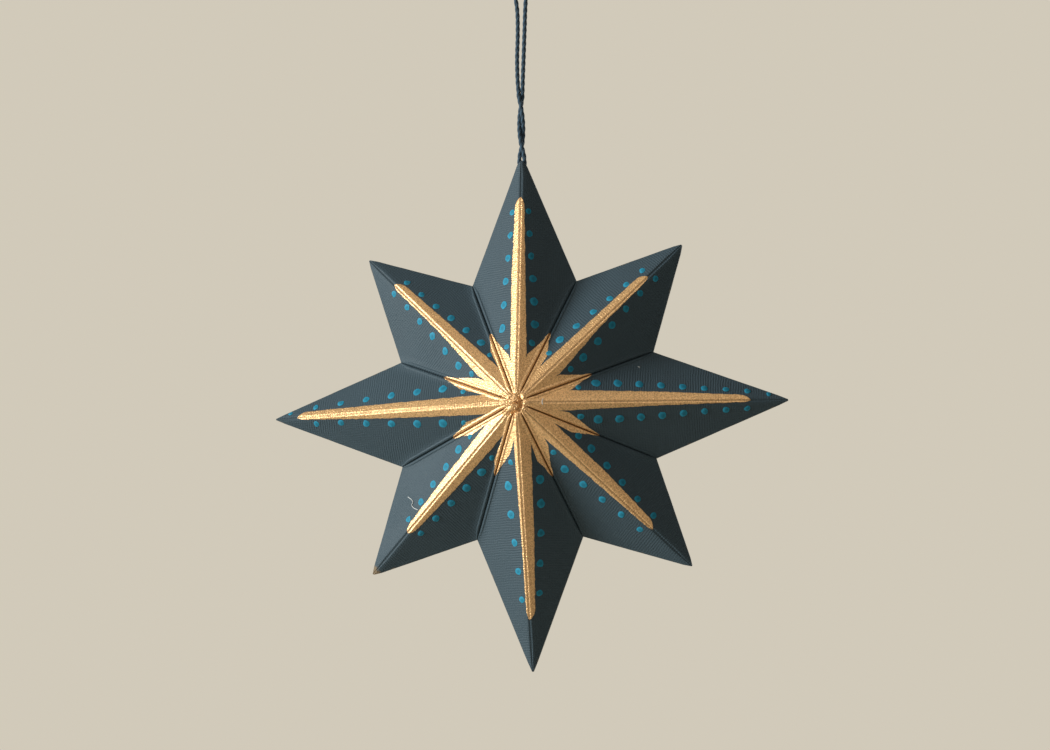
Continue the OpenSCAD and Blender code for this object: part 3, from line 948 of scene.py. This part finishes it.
def facet_height(sizes, x, y):
    """The height of the flat facets over the seam, without their folds."""
    turn = (math.atan2(y, x) - QUARTER_TURN) / (2 * STEP)
    gap = abs(turn - round(turn)) * 2 * STEP
    point = sizes.short_point if round(turn) % 2 else sizes.long_point
    along, across = math.hypot(x, y) * math.cos(gap), math.hypot(x, y) * math.sin(gap)
    notch_along, notch_across = sizes.notch * math.cos(STEP), sizes.notch * math.sin(STEP)
    share = (along * notch_across + across * (point - notch_along)) / (point * notch_across)
    return sizes.peak - (sizes.peak - sizes.edge) * share


def dot_places(sizes):
    """Each dot's place, its facet's direction and its size, by the rule of its row."""
    places, facings, widths = [], [], []
    notch_along, notch_across = sizes.notch * math.cos(STEP), sizes.notch * math.sin(STEP)
    for ridge, side, start, end, number, stray in DOT_ROWS:
        point = sizes.short_point if ridge % 4 else sizes.long_point
        angle = QUARTER_TURN + ridge * STEP
        outward = Vector((math.cos(angle), math.sin(angle)))
        beside = Vector((-math.sin(angle), math.cos(angle))) * side
        long_width = notch_across / (sizes.long_point - notch_along)
        parting = PARTINGS[ridge] - ridge if side > 0 else ridge - PARTINGS[ridge - 1] % FOLDS
        if ridge == 0 and side < 0:
            parting += FOLDS
        pull = PAINT_CORNER * (math.sin(min(parting, WIDEST_PARTING) * STEP) - math.sin(STEP / 2))
        tip_line = Vector((notch_along - point, notch_across)).normalized()
        out = outward * tip_line.y + beside * -tip_line.x
        slope = (sizes.peak - sizes.edge) / (point * tip_line.y)
        facing = Vector((out.x * slope, out.y * slope, 1.0)).normalized()
        first, last = PAINT_CORNER + start, point / MM - end
        for k in range(number):
            part = 0.0 if k == 0 else (k - 1 + FIRST_GAP) / (number - 2 + FIRST_GAP)
            along = first + (last - first) * part
            on, back = along - PAINT_CORNER, point / MM - along
            across = min(lookup(on, START_BOW), lookup(back, TIP_BOW) * long_width * back)
            across += pull * lookup(on, START_PULL)
            across += stray * min(lookup(on, STRAY_GROWS), lookup(back, STRAY_FADES))
            place = (outward * along + beside * across) * MM
            places.append((place.x, place.y, facet_height(sizes, place.x, place.y)))
            facings.append(tuple(facing))
            widths.append(min(lookup(on, START_SIZE), lookup(back, TIP_SIZE)))
    return places, facings, widths


def dots_tree(material):
    """A flat-topped drop of paint on each point, turned to its facet, with an uneven outline."""
    m, entry = new_tree("teal drops", ["Width", "Lift"])
    ball = m.add(
        "GeometryNodeMeshUVSphere", None,
        {"Segments": DOT_SEGMENTS, "Rings": DOT_RINGS, "Radius": 0.5},
    )
    x, y, z = m.split(m.add("GeometryNodeInputPosition"))
    off_centre = m.math("SQRT", x * x + y * y) * 2.0
    level = m.math("SIGN", z) * (1.0 - off_centre ** DOT_FLATNESS) * 0.5
    ball = keep(m, moved(m, ball, m.vector(x, y, level)), from_centre=off_centre)
    width = entry["Width"]
    flat = m.add(
        "GeometryNodeTransform", None,
        {"Geometry": ball, "Scale": m.vector(width, width, entry["Lift"] * 2.0)},
    )
    turn = m.add(
        "FunctionNodeAlignRotationToVector", {"axis": "Z"},
        {"Vector": stored(m, "facing", "FLOAT_VECTOR")},
    )
    size = stored(m, "size")
    drops = m.add(
        "GeometryNodeInstanceOnPoints", None,
        {
            "Points": entry["Geometry"], "Instance": flat, "Rotation": turn,
            "Scale": m.vector(size, size, 1.0),
        },
    )
    place = m.add("GeometryNodeInputPosition")
    reach = stored(m, "from_centre") * DOT_UNEVENNESS
    push = m.vector(*(m.sway(place, 520.0, seed) * reach for seed in (3.0, 17.0)))
    uneven = m.add(
        "GeometryNodeSetPosition", None, {"Geometry": made_real(m, drops), "Offset": push}
    )
    close_tree(m, uneven, material)
    return m.tree


class OBJECT_OT_teal_dots(bpy.types.Operator):
    """Dab the rows of teal dots beside the ridges"""

    bl_idname = "object.teal_dots"
    bl_label = "Teal Dots"

    def execute(self, context):
        paint = context.scene.paint_sizes
        material = made_once("painted_teal", teal_material, context.scene.star_colours)
        places, facings, widths = dot_places(context.scene.star_sizes)
        start = start_mesh("dots_start", places, {"facing": facings, "size": widths})
        values = {"Width": paint.dot, "Lift": paint.dot_lift}
        dots = bake("teal_drops", start, dots_tree(material), values)
        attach(dots, BODY)
        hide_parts("teal_dots")
        return {"FINISHED"}


# ---- twine

TWINE_POINTS = 900
PROFILE_POINTS = 14

# From the twine's middle to the waist between its plies, and how much further their crowns are,
# as shares of its width
WAIST = 0.41
CROWN = 0.09


def smooth_route(points, parts=6):
    """Points along a smooth curve through all the given ones."""
    spots = [Vector(p) * MM for p in points]
    made = []
    for k in range(len(spots) - 1):
        before = spots[k - 1] if k else 2 * spots[0] - spots[1]
        after = spots[k + 2] if k + 2 < len(spots) else 2 * spots[-1] - spots[-2]
        a, b = spots[k], spots[k + 1]
        for q in range(parts):
            t = q / parts
            made.append(
                0.5 * (2 * a + (b - before) * t + (2 * before - 5 * a + 4 * b - after) * t * t
                       + (3 * a - before - 3 * b + after) * t ** 3)
            )
    return [*made, spots[-1]]


def route_curve(name, lines):
    curve = bpy.data.curves.new(name, "CURVE")
    curve.dimensions = "3D"
    for points in lines:
        line = curve.splines.new("POLY")
        line.points.add(len(points) - 1)
        for spot, place in zip(line.points, points):
            spot.co = (*place, 1.0)
    return curve


def twine_tree(material):
    """Two plies twisted round each other along the route."""
    m, entry = new_tree("twine plies", ["Width", "Pitch"])
    route = m.add(
        "GeometryNodeResampleCurve", None, {"Curve": entry["Geometry"], "Count": TWINE_POINTS}
    )
    length = m.add("GeometryNodeSplineParameter", None, None, "Length")
    twisted = m.add(
        "GeometryNodeSetCurveTilt", None,
        {"Curve": route, "Tilt": length * (2 * math.pi) / entry["Pitch"]},
    )
    twisted = keep(m, twisted, run=length)

    # The section is a rounded figure of eight
    x, y, _ = m.split(m.add("GeometryNodeInputPosition"))
    bearing = m.math("ARCTAN2", y, x)
    lobe = m.math("COSINE", bearing)
    reach = entry["Width"] * (WAIST + CROWN * lobe * lobe)
    section = moved(m, circle(m, PROFILE_POINTS, 1.0), m.vector(x * reach, y * reach))
    # Kept for the material: how near a ply's crown a point is, for its painted highlight, and its
    # bearing
    section = keep(m, section, crown=lobe * lobe, ply=bearing)
    close_tree(m, swept(m, twisted, section), material, (0.0, 0.0, 0.0), 0.0)
    return m.tree


class OBJECT_OT_twine(bpy.types.Operator):
    """Hang the doubled twine from the top point"""

    bl_idname = "object.twine"
    bl_label = "Twine"

    def execute(self, context):
        paint = context.scene.paint_sizes
        material = made_once("blue_yarn", twine_material, context.scene.star_colours)
        route = smooth_route(TWINE_ROUTE)
        values = {"Width": paint.twine, "Pitch": paint.twine_pitch}
        start = route_curve("twine_route", [route])
        twine = turned_out(bake("twine_loop", start, twine_tree(material), values, math.pi))
        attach(twine, BODY)
        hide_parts("hanging_cord")
        return {"FINISHED"}


# ---- lint


def lint_tree(material):
    """A thin round fibre along each line."""
    m, entry = new_tree("lint fibres", ["Width"])
    section = circle(m, LINT_SIDES, entry["Width"] * 0.5)
    close_tree(m, swept(m, entry["Geometry"], section), material)
    return m.tree


class OBJECT_OT_lint(bpy.types.Operator):
    """Drop the few white fibres on the front half"""

    bl_idname = "object.lint"
    bl_label = "Lint"

    def execute(self, context):
        sizes = context.scene.star_sizes
        lines = [
            smooth_route(
                [(x, y, facet_height(sizes, x * MM, y * MM) / MM + LINT_LIFT) for x, y in fibre]
            )
            for fibre in LINT
        ]
        start = route_curve("lint_lines", lines)
        tree = lint_tree(made_once("white_lint", lint_material))
        lint = turned_out(bake("lint", start, tree, {"Width": context.scene.paint_sizes.lint}))
        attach(lint, BODY)
        return {"FINISHED"}


# ---- camera, lights and stage

CAMERA_LENS = 68.571
CAMERA_PLACE = (0.0995, -0.6459, -0.2284)
CAMERA_RIGHT = (0.98757, 0.15576, -0.02128)
CAMERA_UP = (0.04095, -0.12420, 0.99141)

FLOOR_RADIUS = 0.75
FLOOR_HEIGHT = -0.42
FLOOR_SIDES = 96

SOFT_LIGHT = (0.80, 0.80, 0.78, 1.0)
SOFT_STRENGTH = 0.026
MIRRORED_BACKDROP = 0.6

# Soft round lamps: name, place, width, power and colour
LAMPS = [
    ("key", (-1.30, -0.62, 0.16), 0.5, 27.0, (0.92, 0.98, 1.0)),
    ("upper", (0.35, -1.1, 0.95), 0.8, 3.4, (1.0, 0.96, 0.90)),
    ("back", (0.9, 1.4, 0.5), 0.9, 12.0, (1.0, 1.0, 1.0)),
]


def area_lamp(name, spot, width, power, colour):
    """A round lamp that looks at the star's centre."""
    light = bpy.data.lights.new(name, "AREA")
    light.shape = "DISK"
    light.size = width
    light.energy = power
    light.color = colour
    lamp = bpy.data.objects.new(name, light)
    turn = (Vector((0.0, 0.0, CENTRE_HEIGHT)) - Vector(spot)).to_track_quat("-Z", "Y")
    lamp.matrix_world = Matrix.Translation(spot) @ turn.to_matrix().to_4x4()
    bpy.context.scene.collection.objects.link(lamp)


class OBJECT_OT_star_camera(bpy.types.Operator):
    """Set the camera where the photograph was taken from"""

    bl_idname = "object.star_camera"
    bl_label = "Camera"

    def execute(self, context):
        camera = bpy.data.cameras.new("camera")
        camera.sensor_width = 36.0
        camera.lens = CAMERA_LENS
        camera.clip_start, camera.clip_end = 0.01, 20.0
        placed = bpy.data.objects.new("camera", camera)
        right = Vector(CAMERA_RIGHT).normalized()
        back = right.cross(Vector(CAMERA_UP)).normalized()
        turn = Matrix((right, back.cross(right), back)).transposed().to_4x4()
        placed.matrix_world = Matrix.Translation(CAMERA_PLACE) @ turn
        context.scene.collection.objects.link(placed)
        context.scene.camera = placed
        return {"FINISHED"}


class OBJECT_OT_star_stage(bpy.types.Operator):
    """Lay the pale floor and set the soft studio lights"""

    bl_idname = "object.star_stage"
    bl_label = "Stage"

    def execute(self, context):
        scene = context.scene
        pale = rgba(scene.star_colours.backdrop)
        scene.view_settings.view_transform = "Standard"

        material, m = new_material("floor")
        mesh = bpy.data.meshes.new("floor")
        angles = [2 * math.pi * k / FLOOR_SIDES for k in range(FLOOR_SIDES)]
        rim = [
            (FLOOR_RADIUS * math.cos(angle), FLOOR_RADIUS * math.sin(angle), FLOOR_HEIGHT)
            for angle in angles
        ]
        mesh.from_pydata(rim, [], [tuple(range(FLOOR_SIDES))])
        mesh.materials.append(finish(material, m, {"Base Color": pale, "Roughness": 0.9}))
        floor = bpy.data.objects.new("floor", mesh)
        scene.collection.objects.link(floor)

        world = bpy.data.worlds.new("studio")
        world.use_nodes = True
        world.node_tree.nodes.clear()
        w = Maker(world.node_tree)
        path = w.node("ShaderNodeLightPath")
        kinds = ("Camera", "Transmission", "Glossy")
        seen, through, glossy = (Value(w, path.outputs[f"Is {kind} Ray"]) for kind in kinds)
        shown = w.math("MAXIMUM", w.math("MAXIMUM", seen, through), glossy * MIRRORED_BACKDROP)
        soft, plain = (
            w.add("ShaderNodeBackground", None, {"Color": colour, "Strength": strength})
            for colour, strength in ((SOFT_LIGHT, SOFT_STRENGTH), (pale, 1.0))
        )
        mixed = w.add("ShaderNodeMixShader", None, {0: shown, 1: soft, 2: plain})
        w.node("ShaderNodeOutputWorld", None, {"Surface": mixed})
        scene.world = world

        for lamp in LAMPS:
            area_lamp(*lamp)
        return {"FINISHED"}


# ---- panel and running


class VIEW3D_PT_card_star(bpy.types.Panel):
    """The star's pieces, sizes and colours"""

    bl_label = "Card Star"
    bl_idname = "VIEW3D_PT_card_star"
    bl_space_type = "VIEW_3D"
    bl_region_type = "UI"
    bl_category = "Card Star"

    def draw(self, context):
        for step in STEPS:
            self.layout.operator(step.bl_idname)
        for group in (
            context.scene.star_sizes, context.scene.paint_sizes, context.scene.star_colours
        ):
            box = self.layout.box()
            for name in group.bl_rna.properties.keys():
                if name not in {"rna_type", "name"}:
                    box.prop(group, name)


GROUPS = {
    "star_sizes": StarSizes,
    "paint_sizes": PaintSizes,
    "star_colours": StarColours,
}
STEPS = (
    OBJECT_OT_star_camera,
    OBJECT_OT_twine,
    OBJECT_OT_card_halves,
    OBJECT_OT_gold_rays,
    OBJECT_OT_teal_dots,
    OBJECT_OT_lint,
    OBJECT_OT_star_stage,
)


def register():
    for name, group in GROUPS.items():
        bpy.utils.register_class(group)
        setattr(bpy.types.Scene, name, PointerProperty(type=group))
    for step in STEPS:
        bpy.utils.register_class(step)
    bpy.utils.register_class(VIEW3D_PT_card_star)


def unregister():
    bpy.utils.unregister_class(VIEW3D_PT_card_star)
    for step in reversed(STEPS):
        bpy.utils.unregister_class(step)
    for name, group in reversed(GROUPS.items()):
        delattr(bpy.types.Scene, name)
        bpy.utils.unregister_class(group)


def main():
    register()
    bpy.ops.object.star_camera()
    bpy.ops.object.twine()
    bpy.ops.object.card_halves()
    bpy.ops.object.gold_rays()
    bpy.ops.object.teal_dots()
    bpy.ops.object.lint()
    bpy.ops.object.star_stage()


if __name__ == "__main__":
    main()
